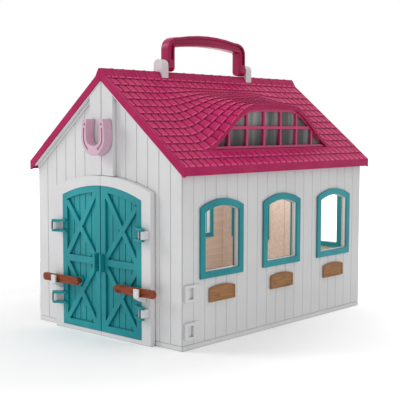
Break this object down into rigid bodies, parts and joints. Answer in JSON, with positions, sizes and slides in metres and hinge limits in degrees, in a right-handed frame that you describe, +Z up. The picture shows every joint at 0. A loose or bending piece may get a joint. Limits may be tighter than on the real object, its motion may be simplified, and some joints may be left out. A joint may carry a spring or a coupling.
{
  "type": "toy stable",
  "caption": "Portable toy horse stable with a tiled roof, arched dormers, a swinging handle and barred barn doors; it opens down the middle like a book.",
  "frame": {"origin": "middle of the whole part's footprint, on the surface it stands on", "axes": "+Z up from the base to the handle, +Y from the doors to the rear hinge along the ridge, +X towards the half that carries the handle posts"},
  "size_m": [0.1868, 0.2746, 0.2557],
  "materials": {
    "shell_white": "satin",
    "roof_pink": "satin",
    "handle_pink": "satin",
    "door_teal": "satin",
    "wood_brown": "matte",
    "lining_beige": "matte",
    "shoe_lilac": "satin",
    "smoked_pane": "gloss",
    "pin_steel": "brushed"
  },
  "bodies": {
    "right_half": {"side_wall_right": "shell_white", "front_gable_right": "shell_white", "rear_gable_right": "shell_white", "floor_panel_right": "shell_white", "side_lining_right": "lining_beige", "rear_lining_right": "lining_beige", "rear_window_frame_right": "door_teal", "rear_window_trim_right": "door_teal", "roof_right": "roof_pink", "dormer_frame_right": "roof_pink", "dormer_pane_right": "smoked_pane", "door_frame_right": "shell_white", "window_frame_1_right": "door_teal", "window_frame_2_right": "door_teal", "window_frame_3_right": "door_teal", "window_trim_1_right": "door_teal", "window_trim_2_right": "door_teal", "window_trim_3_right": "door_teal", "name_plate_1_right": "wood_brown", "name_plate_2_right": "wood_brown", "name_plate_3_right": "wood_brown", "handle_post_front": "shell_white", "handle_post_rear": "shell_white", "case_hinge_pin_1": "pin_steel", "case_hinge_pin_2": "pin_steel"},
    "left_half": {"side_wall_left": "shell_white", "front_gable_left": "shell_white", "rear_gable_left": "shell_white", "floor_panel_left": "shell_white", "side_lining_left": "lining_beige", "rear_lining_left": "lining_beige", "rear_window_frame_left": "door_teal", "rear_window_trim_left": "door_teal", "roof_left": "roof_pink", "dormer_frame_left": "roof_pink", "dormer_pane_left": "smoked_pane", "door_frame_left": "shell_white", "window_frame_1_left": "door_teal", "window_frame_2_left": "door_teal", "window_frame_3_left": "door_teal", "window_trim_1_left": "door_teal", "window_trim_2_left": "door_teal", "window_trim_3_left": "door_teal", "name_plate_1_left": "wood_brown", "name_plate_2_left": "wood_brown", "name_plate_3_left": "wood_brown"},
    "right_door": {"door_leaf_right": "door_teal"},
    "left_door": {"door_leaf_left": "door_teal"},
    "right_bar": {"door_bar_right": "wood_brown"},
    "left_bar": {"door_bar_left": "wood_brown"},
    "handle": {"carry_handle": "handle_pink"},
    "clasp": {"horseshoe_clasp": "shoe_lilac"}
  },
  "joints": [
    {"name": "case_opening", "type": "hinge", "parent": "right_half", "child": "left_half", "pos_m": [0, 0.1343, 0], "axis": [0, 0, -1], "range_deg": [0, 175]},
    {"name": "right_door_swing", "type": "hinge", "parent": "right_half", "child": "right_door", "pos_m": [0.0538, -0.133, 0], "axis": [0, 0, 1], "range_deg": [0, 100]},
    {"name": "left_door_swing", "type": "hinge", "parent": "left_half", "child": "left_door", "pos_m": [-0.0538, -0.133, 0], "axis": [0, 0, -1], "range_deg": [0, 100]},
    {"name": "right_bar_lift", "type": "hinge", "parent": "right_door", "child": "right_bar", "pos_m": [0.0263, -0.1328, 0.0435], "axis": [0, -1, 0], "range_deg": [0, 120]},
    {"name": "left_bar_lift", "type": "hinge", "parent": "left_door", "child": "left_bar", "pos_m": [-0.0263, -0.1328, 0.0435], "axis": [0, 1, 0], "range_deg": [0, 120]},
    {"name": "handle_swing", "type": "hinge", "parent": "right_half", "child": "handle", "pos_m": [0, 0.0008, 0.227], "axis": [0, 1, 0], "range_deg": [-100, 100]},
    {"name": "clasp_lift", "type": "slide", "parent": "right_half", "child": "clasp", "axis": [0, 0, 1], "range_m": [0, 0.012]}
  ],
  "couplings": [
    {"joint": "right_bar_lift", "follows": "right_door_swing", "ratio": 1.2},
    {"joint": "left_bar_lift", "follows": "left_door_swing", "ratio": 1.2}
  ]
}
